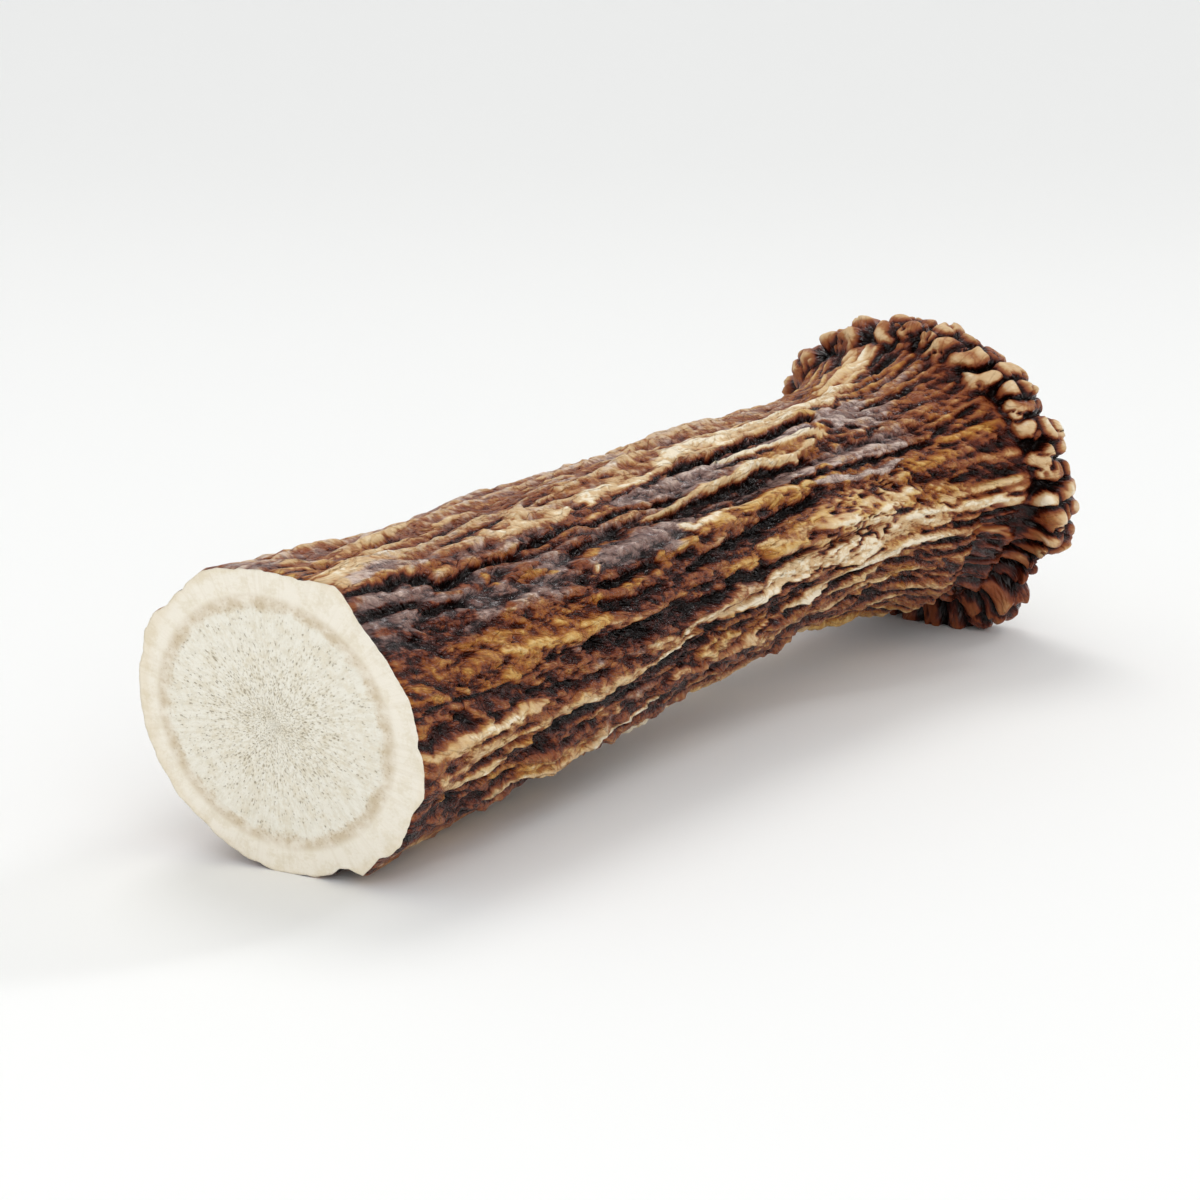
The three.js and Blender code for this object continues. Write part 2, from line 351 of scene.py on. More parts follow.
cream(2.1, 0.5, [(76, 18), (82, 14.5), (90, 15), (100, 12), (112, 14), (122, 13), (131, 12), (139, 14)], 0.8)
mauve(1.1, -0.2, [(3, 27), (8, 27), (14, 28), (20, 28.5)], 0.7)
mauve(0.9, 0, [(20, 31), (30, 31), (42, 30)], 0.6)
slate(0.9, -0.5, [(24, 22), (30, 20.5), (37, 20)], 0.75)
slate(0.35, -0.25, [(30, 19), (33, 19.2)])
slate(0.3, -0.25, [(35, 20), (37.5, 21)])
umber(0.8, -0.3, [(47, 16), (49.5, 17)])
umber(0.5, -0.3, [(50, 27.5), (54.5, 24.5)])
umber(0.3, -0.2, [(53, 16.5), (58, 16)])
umber(0.4, -0.2, [(57, 26), (60, 25)], 0.7)
umber(0.3, -0.2, [(64, 13), (66, 13.5)])
umber(0.3, -0.25, [(70, 20), (75, 19.5), (77, 20.3)])

# The furrow under the crest, and the leathery dark skin below it.
plum(3.6, 0, [(22, 42), (34, 47), (45, 46), (60, 48), (72, 48)], 0.75)
plum(4.8, -0.1, [(-3, 46), (10, 47.5), (26, 47)], 0.82)
maroon(1.0, 0.1, [(9, 49), (14, 51), (20, 52)], 0.7)
maroon(0.9, 0.1, [(27, 43), (33, 44), (38, 43)], 0.6)
slate(0.6, -0.9, [(0, 31.5), (4, 32), (8, 35), (10, 33), (14, 33.5), (18, 38), (22, 37), (26, 35.5)])
slate(0.55, -0.9, [(25, 35.5), (34, 36.5), (37, 33.5), (45, 33), (53, 35.5), (62, 35), (67, 36.5)])
slate(0.5, -0.8, [(66, 36.5), (72, 36), (76, 34.5)])
slate(0.6, -0.45, [(-1, 40.5), (8, 42), (14, 45.5), (20, 47)])
umber(0.8, -0.3, [(4, 50.5), (8.5, 54)])
umber(1.1, -0.4, [(10, 51), (16.5, 55.5)])
umber(0.5, 0.3, [(14, 41), (20, 43)], 0.7)
slate(0.7, 0.4, [(0, 48), (6, 51.5), (12, 58), (17, 61)], 0.7)
slate(0.6, 0.4, [(-1, 56), (6, 60), (10.5, 65.5)], 0.8)
slate(0.8, 0.3, [(18, 38), (22, 41), (25, 47)], 0.7)
amber(1.1, 0.25, [(25.5, 40.5), (28, 45)], 0.8)
amber(0.7, 0.2, [(33, 47), (38, 48)], 0.6)
amber(0.9, 0.3, [(43.5, 46), (49, 47.5)], 0.9)
amber(0.4, 0.1, [(50, 45), (56, 46)], 0.6)
mauve(0.9, 0.25, [(27, 55), (34, 53), (37, 56)], 0.6)
slate(1.0, -0.3, [(41, 49), (44, 52), (42, 56)], 0.8)
slate(1.0, 0.2, [(42, 41), (46, 42.5), (50, 41)], 0.7)
cream(0.45, 0.25, [(45.6, 54.5), (46.6, 53.6)])
plum(1.9, 0.1, [(47, 52), (56, 53), (68, 56)], 0.8)
slate(0.45, 0.35, [(50, 56), (56, 58), (61, 58)])
slate(0.4, -0.5, [(44, 58.5), (50, 60.5), (58, 60)])
umber(0.9, -0.6, [(54, 44.5), (60, 42.5), (66, 43.5), (72, 43)])
fawn(0.5, 0.55, [(61, 41), (68, 40.5), (75, 38), (80, 36.5), (87, 38.5)])

# The ridges and hollows between the crest and the middle of the side, nearer the burr.
mauve(1.7, -0.5, [(61, 29), (72, 30), (82, 30), (90, 30)])
slate(0.4, -0.5, [(62, 25), (66, 25), (70, 26), (76, 25)], 0.9)
slate(0.85, -1.1, [(77, 24), (84, 23), (88, 22.5)])
slate(0.8, -1.4, [(88, 22), (93, 21.5), (98, 21.2)])
slate(0.95, -1.7, [(99, 21.5), (105, 23), (110, 22), (114, 23), (117.5, 25)])
mauve(1.1, -0.3, [(98, 26.5), (106, 27.5), (114, 28)])
cream(0.6, 0.75, [(86, 27.5), (92, 28.5), (97, 27.5), (102, 30.8), (108, 30.5), (112, 33)])
slate(0.45, -0.6, [(85, 31.5), (93, 31.5)])
slate(0.35, -0.4, [(95, 29.5), (101, 33)])
fawn(1.2, 0.3, [(92, 35), (100, 36), (108, 35), (116, 34)])
fawn(0.9, 0.85, [(80, 38.5), (90, 38), (95, 36), (99, 39), (104, 41.5), (108, 38), (111, 36)])
ash(1.8, -0.9, [(71, 44), (78, 44), (86, 45), (98, 45)], 0.9)
mauve(0.6, 0.3, [(78, 46.5), (86, 47.5), (94, 47)], 0.6)
slate(0.6, -0.7, [(72, 41.5), (80, 41), (90, 41.5), (95, 39.5), (99, 42), (104, 44.5), (108, 42)])
mauve(1.0, 0.2, [(93, 46), (99, 47), (106, 47.5), (110, 45)])
umber(0.9, -0.4, [(106, 41), (109, 45.5)])
slate(0.5, -0.4, [(109, 35), (111, 36)], 0.8)
slate(0.8, -0.4, [(111, 41.5), (115, 42)], 0.9)
slate(0.7, -0.4, [(116, 40), (120, 41)], 0.9)
lilac(3.4, 0, [(117, 28), (128, 29), (141, 31)], 0.85)
mauve(2.6, 0.2, [(110, 47), (120, 50), (134, 54)], 0.75)
slate(0.45, -0.5, [(119, 20.5), (123, 18), (125.5, 20)])
slate(0.6, -0.6, [(127, 21), (130, 17.5), (133, 19.5), (139, 20.5)])
slate(0.45, -0.5, [(116, 29), (120, 31.5)])
slate(0.5, -0.4, [(123, 35.5), (126, 37)])
slate(0.5, -0.6, [(131, 30), (140, 29), (152, 28)])
slate(0.75, -0.5, [(122, 42), (127, 43), (131, 42)], 0.9)
fawn(0.6, 0.4, [(136, 27), (144, 27)], 0.7)
cream(0.5, 0.5, [(68, 51.5), (75, 51.5), (79, 50), (83, 51), (88, 54)])
amber(1.2, 0.7, [(64, 57), (72, 56), (79, 54), (86, 55), (92, 54.5), (100, 57.5)], 0.65)
umber(0.9, 0, [(71, 57), (76, 57.5), (82, 57)], 0.8)
maroon(0.6, -0.1, [(83, 57.5), (90, 58)], 0.8)
umber(0.4, 0, [(93, 57), (99, 59)], 0.8)
fawn(0.4, 0.2, [(92, 51), (96, 52.5), (99, 55)], 0.7)
umber(0.35, -0.35, [(79, 53.5), (85, 56.5), (89, 56)], 0.9)
umber(0.35, -0.35, [(91, 53), (95, 56), (98, 56.5)], 0.9)
umber(0.6, 0, [(86, 55.5), (92, 54.5)], 0.7)
slate(0.6, -0.85, [(98, 50), (103, 51.5), (108, 50.5), (112, 53), (118, 54.5), (127, 56.5)])
slate(0.6, -0.85, [(126, 56.5), (133, 58), (140, 59), (147, 57), (155, 55)])
mauve(0.7, 0.35, [(105, 54), (110, 56), (115, 58.5), (122, 61), (131, 61)])

# The amber middle of the side, from the sawn end, and the furrows that part it.
amber(3.4, 0.2, [(-3, 70), (12, 71), (22, 70), (34, 68), (46, 68)])
bronze(3.0, 0, [(-2, 71), (10, 72), (21, 71)], 0.55)
umber(1.6, 0, [(1, 65), (7, 66), (12, 63)], 0.6)
umber(1.0, -0.2, [(10, 62.5), (13, 65), (12, 68)], 0.9)
umber(0.9, -0.25, [(17.5, 66), (21, 70), (20, 75)], 0.9)
slate(0.6, -0.2, [(2, 73), (8, 75), (11, 76)], 0.5)
slate(0.3, -0.35, [(0, 79), (10, 79), (20, 80.5), (30, 79), (42, 77)], 0.9)
fawn(0.8, 0.15, [(21.5, 63), (23, 66), (24, 70)], 0.7)
fawn(1.0, 0.15, [(25, 75), (28, 76)], 0.6)
umber(0.7, 0, [(30, 72), (33, 73)], 0.5)
umber(0.5, -0.2, [(39, 62), (39, 66)], 0.6)
umber(2.4, -0.1, [(-3, 86), (12, 87), (25, 85), (41, 85)])
maroon(0.8, -0.2, [(0, 89.5), (4, 91)], 0.6)
maroon(0.9, -0.2, [(7, 87), (12, 91)], 0.6)
slate(0.4, -0.3, [(12, 88), (18, 88.5), (24, 88.5), (30, 87.5), (37, 91)], 0.8)
slate(1.0, 0.3, [(40, 57.5), (45, 60), (50, 63)], 0.7)
amber(0.9, 0.25, [(50, 62), (55, 65)], 0.9)
amber(0.7, 0.2, [(60, 58.5), (65, 61)], 0.8)
slate(1.3, -0.5, [(45, 66), (50, 68), (51, 71)], 0.8)
slate(0.8, 0.3, [(55, 63.5), (58, 66), (64, 66.5), (70, 70)])
maroon(2.6, 0, [(46, 69), (54, 71), (62, 72), (72, 72)], 0.95)
slate(1.0, -0.2, [(50, 73), (58, 74.5), (66, 75)], 0.6)
amber(0.8, 0.25, [(63, 75), (68, 76)], 0.8)
slate(0.9, -0.85, [(67, 66), (75, 64), (82, 62.5), (90, 62), (98, 62), (103.5, 61)])
slate(0.75, 0.2, [(71, 68), (76, 66.5), (80, 64.5), (86, 65.5), (90, 66)])
umber(1.6, -0.2, [(72, 72), (78, 70), (83, 71)], 0.9)
amber(1.6, 0.45, [(76, 74), (84, 73), (92, 71), (102, 71), (112, 72)])
fawn(1.1, 0.2, [(84, 68.5), (90, 71), (98, 71), (106, 72), (109, 75)], 0.8)
slate(2.1, -1.4, [(40, 79), (50, 81), (57, 82.5), (66, 82.5), (75, 82)])
slate(0.5, 0.4, [(43, 86.5), (52, 88), (60, 89.5), (65, 89)])
umber(0.7, 0.3, [(44, 77), (54, 76), (62, 75.5), (70, 77.5), (78, 76)], 0.8)
slate(1.1, -1.1, [(75, 79), (82, 79), (89, 79), (94, 80), (98, 79.5)])
slate(0.9, -0.3, [(83, 82), (88, 84)], 0.9)
umber(0.6, 0, [(88, 87), (92, 85), (97, 80)], 0.8)

# The amber part nearer the burr, and the pale band below it, with worm-like dark pits.
honey(3.2, 0.2, [(101, 69), (114, 71), (124, 73), (131, 74)], 0.9)
cream(1.3, 0.2, [(103, 73), (112, 74), (120, 71), (129, 73)], 0.7)
amber(2.4, 0.1, [(128, 66), (140, 70), (150, 74)], 0.7)
fawn(1.0, 0.2, [(111, 63), (118, 64), (122, 73)], 0.7)
fawn(0.9, 0.2, [(119, 74), (127, 68), (129, 64)], 0.7)
amber(0.9, 0.2, [(110, 72), (114, 76), (119, 75)], 0.7)
slate(0.7, -0.4, [(114, 67), (118, 67.5), (119.5, 72)], 0.8)
umber(0.5, -0.3, [(121.5, 67.5), (124, 70), (127, 70.5)], 0.8)
maroon(0.35, -0.3, [(109, 70), (111.5, 71.5)], 0.9)
maroon(0.4, -0.3, [(109.5, 77), (113, 78.5)], 0.9)
umber(0.5, -0.2, [(104, 78.5), (108, 80)], 0.8)
umber(0.4, -0.2, [(97, 74.5), (100, 75.5), (103, 77.5)], 0.8)
umber(0.5, -0.2, [(112, 73), (115, 75.5), (117.5, 74.5)], 0.7)
umber(0.35, -0.2, [(125.5, 84.5), (128, 85)], 0.8)
maroon(0.3, -0.2, [(133, 88.5), (135, 89)], 0.9)
umber(0.5, -0.2, [(103, 64), (108, 66.5)], 0.7)
umber(0.7, -0.3, [(131, 70), (138, 72), (146, 71)], 0.8)
fawn(0.6, 0.2, [(135, 76), (141, 74.5), (146, 76)], 0.7)
cream(2.6, 0.4, [(83, 90.5), (92, 88), (99, 86), (108, 88), (118, 89), (130, 90), (138, 91), (145, 93)])
cream(1.6, 0.2, [(106, 83), (116, 80), (126, 77)], 0.7)
fawn(0.8, 0.2, [(95, 71), (101, 72), (108, 71)], 0.8)
cream(1.2, 0.3, [(65, 93), (70, 91), (75, 92)])
cream(0.9, 0.2, [(75, 92), (86, 91)])
fawn(0.9, 0.2, [(54, 92), (60, 94), (64, 95)], 0.8)
umber(0.6, -0.2, [(82.5, 87.5), (85, 88)])
umber(0.3, -0.2, [(79, 88), (81.5, 88)])
umber(0.45, -0.2, [(97, 76), (101, 74), (105, 75.5)], 0.9)
umber(0.4, -0.2, [(98, 80.5), (104, 80), (110, 79)], 0.9)
umber(0.35, -0.3, [(107, 78), (107.5, 83), (109.5, 88)], 0.8)
slate(0.35, -0.4, [(109, 90), (112, 87), (114.5, 84.5), (117, 85.5)])
slate(0.65, -0.5, [(122.5, 81), (125, 81.5), (127.5, 83)])
umber(0.3, -0.2, [(119, 78.5), (125, 78)], 0.9)
umber(0.3, -0.2, [(120, 88), (121.5, 90)], 0.7)
slate(0.45, -0.4, [(128, 97.5), (131, 99), (134.5, 98)])
umber(0.3, -0.3, [(132, 89.5), (135, 90)], 0.9)
umber(0.35, -0.3, [(135, 84.5), (138, 88), (140, 88.5)], 0.9)
umber(0.9, -0.3, [(131, 79), (133, 84)], 0.7)
umber(0.6, -0.4, [(137, 97), (142, 95.5), (147, 95.5), (152, 98)], 0.9)
line_angle = wander_arc / DEGREE
pitted = within(line_angle, 60, 66, 86, 94) * within(travel, 96, 104, 126, 138)[:, None]
worms = pitted * (1 - ease(np.abs(bone_noise(4.2, 2.7, 401, 2)), 0.03, 0.15))
worms *= ease(bone_noise(12, 8, 411), -0.7, -0.2)
paint("maroon", worms)
relief -= 0.45 * worms

# The lower side: pale and tan bands with sharp dark furrows between them.
umber(1.5, 0, [(30, 94), (40, 94.5), (48, 93), (53, 95)])
fawn(1.0, 0.35, [(2, 94.5), (10, 93), (18, 92.5), (26, 93), (30, 95)], 0.75)
cream(0.45, 0.1, [(8, 92.5), (15, 91.5), (21, 92.5)], 0.6)
fawn(2.6, 0.2, [(3, 102), (12, 105), (24, 107)], 0.95)
cream(0.7, 0.2, [(4, 108), (12, 110), (20, 109)], 0.6)
fawn(1.1, 0.2, [(24, 102), (30, 101), (38, 98.5), (45, 101)], 0.75)
umber(0.8, -0.25, [(4, 99), (8.5, 102)], 0.9)
umber(0.7, -0.35, [(11, 97), (15, 95.5), (19, 98.5)])
umber(0.5, -0.3, [(20, 99), (26, 99)])
umber(0.5, -0.3, [(26.5, 95), (32, 93)])
umber(0.9, -0.2, [(5, 105), (9, 107), (13, 109), (18, 106.5), (21, 108)], 0.8)
fawn(1.1, 0.3, [(5, 112), (13, 112.5), (20, 114)], 0.9)
fawn(0.8, 0.2, [(45, 99), (51, 98.5), (57, 100)])
slate(1.5, -0.6, [(22, 111), (34, 106.5), (45, 105.5), (54, 105), (62, 102), (71, 100)])
slate(1.1, -0.5, [(70, 100), (85, 98.5), (95, 97), (102, 95.5), (107, 95)], 0.6)
umber(0.8, 0.2, [(66, 102), (78, 99.5), (90, 99)], 0.6)
slate(0.35, -0.5, [(20, 110), (26, 108), (33, 103.5), (37, 105.5), (45, 103), (57, 101.5), (66, 98)])
slate(0.35, -0.5, [(66, 98), (72, 96.5), (80, 96), (90, 93.5), (96, 93.5), (101, 91.5), (107, 94)])
slate(0.35, -0.4, [(106, 94), (111, 97), (119, 96.5)])
cream(0.3, 0.25, [(56, 99.5), (62, 97.5), (67, 96.5)])
fawn(1.0, 0.2, [(44, 110), (47, 111.5), (51, 113)], 0.8)
fawn(0.6, 0.2, [(60, 107), (64, 106.5)], 0.8)
fawn(0.8, 0.3, [(70, 104), (76, 103.5), (81, 104)], 0.7)
fawn(0.7, 0.2, [(82, 103), (89, 102.5)], 0.6)
cream(0.85, 0.6, [(63, 109.5), (70, 111), (77, 109.5), (85, 109), (91, 107), (97, 102.5), (103, 102)])
cream(1.2, 0.55, [(98, 102), (107, 101.5), (113, 99.5), (122, 101), (131, 100), (143, 104)], 0.95)
slate(0.5, -0.5, [(86, 108.5), (91, 106.5), (96, 104.5), (105, 106), (112, 103), (120, 104.5)])
umber(1.4, -0.3, [(72, 115), (84, 113), (95, 109), (108, 111), (120, 110), (134, 110)], 0.7)
fawn(0.7, 0.3, [(106, 108), (116, 106.5), (128, 107), (140, 111)], 0.75)
maroon(4.8, 0, [(50, 123), (66, 121), (80, 120), (96, 122)], 0.95)
fawn(0.9, 0.3, [(86, 111.5), (94, 114), (101, 118)], 0.7)
fawn(0.9, 0.4, [(108, 119), (116, 115.5), (126, 118), (138, 124)], 0.8)
slate(0.35, -0.5, [(2, 118.5), (10, 114.8), (14, 116), (21, 117.5)])
maroon(1.9, 0.1, [(22, 115), (32, 116), (46, 116)], 0.9)
maroon(3.0, 0, [(-3, 122), (10, 124), (22, 128)], 0.85)
slate(0.8, -0.3, [(21, 122), (26, 123)], 0.8)
fawn(0.8, 0.2, [(29, 122), (36, 123), (46, 122)], 0.7)
cream(0.4, 0.6, [(20, 128), (26, 127), (33, 128), (42, 127), (50, 121.5), (57, 120), (62, 116.5)])
slate(0.9, -0.7, [(20, 131), (30, 131.5), (45, 129.5), (55, 124.5), (64, 120)], 0.9)
maroon(4.5, 0, [(-3, 130), (20, 138), (50, 137), (90, 132), (130, 134)], 0.8)
fawn(0.6, 0.4, [(66, 128), (80, 124), (96, 126)], 0.5)

# ---- The burr's knobs ----
# The rim is a row of rounded fingers of bone, which grew out over the neck, with deep dark clefts between
# them. Those of the furrowed side and the top are each given: angle, half width, lean and front reach. Every
# other knob stands a little further towards the neck.
KNOBS = [
    (-60, 5.0, 2, 5.0), (-46, 7.5, 0, 6.0), (-31, 5.0, -2, 4.5), (-19, 6.5, 3, 6.0), (-1, 5.5, 2, 8.0),
    (6.5, 3.4, 2, 5.5), (15, 4.5, 4, 6.5), (24, 5.0, 6, 8.0), (32, 4.8, 6, 8.5), (42, 4.6, 5, 7.5),
    (50, 4.4, 4, 5.5), (57, 3.6, 3, 4.5), (65, 5.0, 5, 7.5), (73, 4.2, -3, 6.5), (81, 5.0, 4, 8.0),
    (89, 3.8, -4, 5.5), (97, 5.2, -3, 6.5), (105, 4.0, -3, 6.0), (112, 3.8, -4, 7.5), (120, 4.4, -4, 7.0),
    (129, 4.6, -4, 7.5), (139, 5.2, -3, 7.0), (148, 4.4, -2, 7.0), (157, 4.6, 0, 7.0), (166.5, 5.0, 0, 6.5),
    (176, 5.0, 0, 6.5), (186, 5.2, 0, 6.5),
]
KNOB_DEPTH = 3.7
KNOB_BACK = 8.0
KNOB_SHIFT = 1.2
BALL_PLACE, BALL_SIZE = 0.6, 0.3  # of the swelling near its front end, as shares of its reach
FAR_KNOB_STEP = 9.3
far_knobs = np.arange(KNOBS[-1][0] + FAR_KNOB_STEP, KNOBS[0][0] + 360 - FAR_KNOB_STEP * 0.6, FAR_KNOB_STEP)
for knob_angle in far_knobs + dice.uniform(-1, 1, len(far_knobs)):
    KNOBS.append((knob_angle, dice.uniform(4.2, 5.4), dice.uniform(-3, 3), dice.uniform(5.5, 8)))

from_crown = past_crown[:, None] + 0.7 * bone_noise(3.5, 3.5, 201, 2)
rim_angle = skin_angle + 2.6 * bone_noise(4.5, 4.5, 211, 2)
knob = np.zeros(skin_along.shape)
for n, (knob_angle, half, lean, reach) in enumerate(KNOBS):
    middle = knob_angle + lean * from_crown / KNOB_BACK
    set_back = KNOB_SHIFT * (-1) ** n
    in_front = from_crown < set_back
    end = np.abs(from_crown - set_back) / np.where(in_front, reach + 1.5, KNOB_BACK)
    ball = np.exp(-(((end - BALL_PLACE) / BALL_SIZE) ** 2)) * in_front
    off = ((rim_angle - middle + 180) % 360 - 180) / (half * (0.92 + 0.16 * ball))
    lobes = 0.9 + 0.16 * ball + 0.08 * np.cos(from_crown * 1.25 + 1.7 * n) - 0.07 * (n % 3)
    notch = np.exp(-(((from_crown - 1.4 * (n * 7 % 3 - 1) + 0.8) / 0.8) ** 2))
    body = np.clip(1 - np.abs(off) ** 3 - np.abs(end) ** 3, 0, 1) ** 0.5 * (1 - 0.40 * notch)
    knob = np.maximum(knob, body * lobes)
knob *= 0.72 + 0.28 * ease(np.abs(bone_noise(4.5, 4.5, 215, 2)), 0.0, 0.16)

# The rim's low side overhangs a hollow, and elsewhere the neck runs on between the knobs.
low_rim = within(skin_angle, 101, 120, 190, 220)
knob = np.maximum(knob, 0.55 * ease(-from_crown, 4, 8) * (1 - low_rim))
in_rim = within(past_crown, -10, -5, 6, 10)[:, None]
under = within(skin_angle, 82, 100, 205, 250) * within(past_crown, -22, -15, -8, -3)[:, None]
neck = ease(travel, BEAM_LENGTH - 32, BEAM_LENGTH - 14)[:, None] * (1 - in_rim)
relief *= 1 - 0.6 * neck - 0.9 * in_rim
relief += in_rim * KNOB_DEPTH * (knob - 0.85)
relief += 0.10 * in_rim * bone_noise(1.9, 1.9, 221, 2) - 3.2 * under

# Streaks run up the neck into the knobs.
streaks = 1 - 2.4 * np.abs(bone_noise(30, 2.6, 231, 2)) + 0.5 * bone_noise(14, 1.2, 235, 2)
relief += 0.5 * neck * streaks
paint("bronze", 0.9 * neck)
paint("amber", 0.4 * neck * ease(bone_noise(20, 6, 237, 2), 0.0, 0.5))
paint("fawn", neck * ease(streaks, 0.4, 0.95) * (0.25 + 0.5 * ease(skin_angle, 62, 80)))
paint("slate", 0.5 * neck * ease(-streaks, -0.2, 0.4))
# Painted shade: the hollow under the rim's low side is coloured nearly black.
paint("slate", 0.95 * under)
# Painted shade: two dark strokes on the neck, over shallow dips, stand for the shade below the top knobs.
slate(2.2, -0.6, [(146, -22), (154, -14), (160, -9)], 0.7)
slate(1.4, -0.8, [(148, 15), (155, 11), (163, 8)], 0.8)
cream(1.5, 0.5, [(133, 11), (142, 8), (150, 4), (158, 0), (165, -1)], 0.9)
fawn(1.7, 0.3, [(136, 3), (147, -1), (158, -7)], 0.85)
fawn(0.7, 0.4, [(136, 6), (144, 1), (152, -3), (162, -5)], 0.9)
fawn(0.6, 0.4, [(141, 11), (148, 8), (156, 4), (163, 2)], 0.8)
fawn(0.6, 0.3, [(134, 0), (142, -5), (150, -10)], 0.8)
fawn(0.7, 0.3, [(144, 94), (152, 97), (160, 102)], 0.8)
fawn(1.3, 0.25, [(136, 84), (146, 86), (158, 90)], 0.85)
cream(0.8, 0.3, [(138, 90), (147, 93), (157, 97)], 0.8)
fawn(0.5, 0.2, [(134, 80), (139, 77), (146, 77)], 0.7)
amber(0.8, 0.2, [(140, 62), (150, 64), (160, 68)], 0.7)
fawn(0.8, 0.25, [(143, 106), (150, 110), (156, 114)], 0.7)
mauve(1.2, 0, [(140, 24), (150, 26), (156, 30)], 0.5)

# The knobs are pale on their crowns. Painted shade darkens their feet, where the rim overhangs the neck, the
# clefts between them and their low side.
# Painted shade at the knobs' feet, in front of their overhanging ends.
painted_foot_shade = within(past_crown, -15, -9, -7, -4)
paint("slate", (0.15 + 0.5 * low_rim) * painted_foot_shade[:, None] * (1 - ease(knob, 0.1, 0.4)))
crown_tone = bone_noise(5, 5, 241, 2) + 0.5 * within(skin_angle, 55, 72, 108, 122)
paint("maroon", in_rim)
paint("buff", in_rim * ease(knob, 0.58, 0.86) * (0.85 - 0.5 * low_rim))
paint("cream", in_rim * ease(knob, 0.8, 1.0) * ease(crown_tone, -0.4, 0.4) * (0.85 - 0.55 * low_rim))
# Painted shade: the low side is darker, all but the tops of its crowns.
paint("maroon", 0.75 * in_rim * low_rim * (1 - ease(knob, 0.85, 1.05)))
paint("umber", in_rim * ease(knob, 0.3, 0.6) * ease(-crown_tone, 0.15, 0.6) * 0.8)
# Painted shade: the clefts between the knobs are nearly black, and on the low side all but the crowns are too.
paint("slate", in_rim * (1 - ease(knob, 0.2, 0.72)))
paint("slate", 0.85 * in_rim * low_rim * (1 - ease(knob, 0.66, 1.0)))
seal = ease(past_crown, 8, 12)[:, None]
relief += seal * (0.35 * bone_noise(4, 4, 251) + 0.12 * bone_noise(1.2, 1.2, 261, 2))

# Finer grain over everything: rope-like wrinkles wound along the beam, and cracks between them. Whatever
# stands up is rubbed paler, and whatever lies low, the cracks too, is darker: partly its own dark, partly
# painted shade.
plain = (1 - 0.75 * in_rim) * (1 - seal)
bulges = bone_noise(9, 5.5, 291, 2, 0.5 * WRINKLE_TWIST)
ropes = lumps(9, 3.2, 301, 2, WRINKLE_TWIST)
fine = lumps(5, 1.5, 311, 2, 1.5 * WRINKLE_TWIST)
crack = 1 - ease(np.abs(bone_noise(14, 2.5, 321, 3, WRINKLE_TWIST)), 0.0, 0.10)
leathery = 0.3 + 0.7 * (1 - ease(tone[..., 0], 0.25, 0.75))
knuckles = lumps(5.5, 3.2, 341, 1, 0.8 * WRINKLE_TWIST)
relief += plain * (0.26 * bulges + (0.03 + 0.28 * leathery) * knuckles)
relief += plain * (leathery * (0.27 * ropes + 0.14 * fine) - 0.24 * crack)
before_flare = (1 - ease(travel, BEAM_LENGTH - 30, BEAM_LENGTH - 14))[:, None]
relief -= relief.mean(axis=1, keepdims=True) * before_flare  # so that each ring keeps its size


def read_off(points, place):
    """The height at `place` of a line drawn through points."""
    return np.interp(place, *np.transpose(points))


# How far the rim stands out, by its angle, and how flat the lower and upper sides are, by the way along.
RIM_REACH = [
    (0, 0.7), (40, 1.0), (52, 1.3), (60, 1.0), (72, 1.0), (84, 0.9), (98, 1.1), (108, 0.9), (120, -2.9),
    (132, -2.1), (145, 0.8), (165, 0.9), (250, 0), (300, 1.2), (318, 1.7), (335, 0.7), (360, 0.7),
]
LOWER_FLATNESS = 2.3
LOWER_SHARES = [
    (0, 0), (10, 0.35), (22, 0.5), (35, 0.35), (48, 0.45), (60, 0.6), (75, 0.83), (95, 1), (134, 1), (152, 0),
]
UPPER_DIPS = [
    (0, 0), (8, 0.7), (22, 1.2), (38, 0.7), (60, 0.3), (72, 0.1), (85, 0.6), (100, 1.3), (122, 1.7), (145, 0),
]
relief += in_rim * read_off(RIM_REACH, angle)
relief -= LOWER_FLATNESS * within(angle, 80, 115, 150, 190) * read_off(LOWER_SHARES, travel)[:, None]
upper = ease(skin_angle, 290, 310) + 1 - ease(skin_angle, 5, 22)
relief -= upper * read_off(UPPER_DIPS, travel)[:, None]


def softened(field, reach):
    """The field averaged over `reach` millimetres or so to every side."""
    total = np.zeros_like(field)
    tall, wide = max(1, round(reach / BEAM_ROW)), round(reach / (DEGREE * 360 / COLUMNS))
    padded = np.pad(field, ((tall, tall), (0, 0)), mode="edge")
    for step in range(2 * tall + 1):
        total += padded[step:step + len(field)] / (2 * tall + 1)
    return sum(np.roll(total, step, axis=1) for step in range(-wide, wide + 1)) / (2 * wide + 1)


stands = relief - softened(softened(relief, 1.3), 1.3)
relief += 0.3 * plain * stands
# Painted shade: the tone darkens in the hollows and cracks, while raised places are rubbed paler.
tone[..., 0] += np.clip(0.65 * stands, -0.24, 0.2) + plain * (0.03 * fine + 0.04 * knuckles - 0.10 * crack)

# At the sawn end the skin meets the cut's own outline, which fades a little along the beam.
outline = read_off(SAWN_OUTLINE, angle) - SAWN_RADIUS
kept = 1 - 0.6 * ease(travel, 0, 60)
relief = relief * (0.15 + 0.85 * ease(travel, 0, 8))[:, None]
relief += outline * (kept * (1 - ease(travel, BEAM_LENGTH - 30, BEAM_LENGTH - 15)))[:, None]
relief[0] -= 0.25  # the cut's edge is a little worn
paint("umber", (1 - ease(travel, 0.5, 2.5))[:, None] * within(skin_angle, 170, 190, 290, 320))

radius_grid = section[:, :1] + outward[:, :1] * relief
along_grid = section[:, 1:] + outward[:, 1:] * relief
skin_points = placed(along_grid, radius_grid, turn[None, :])


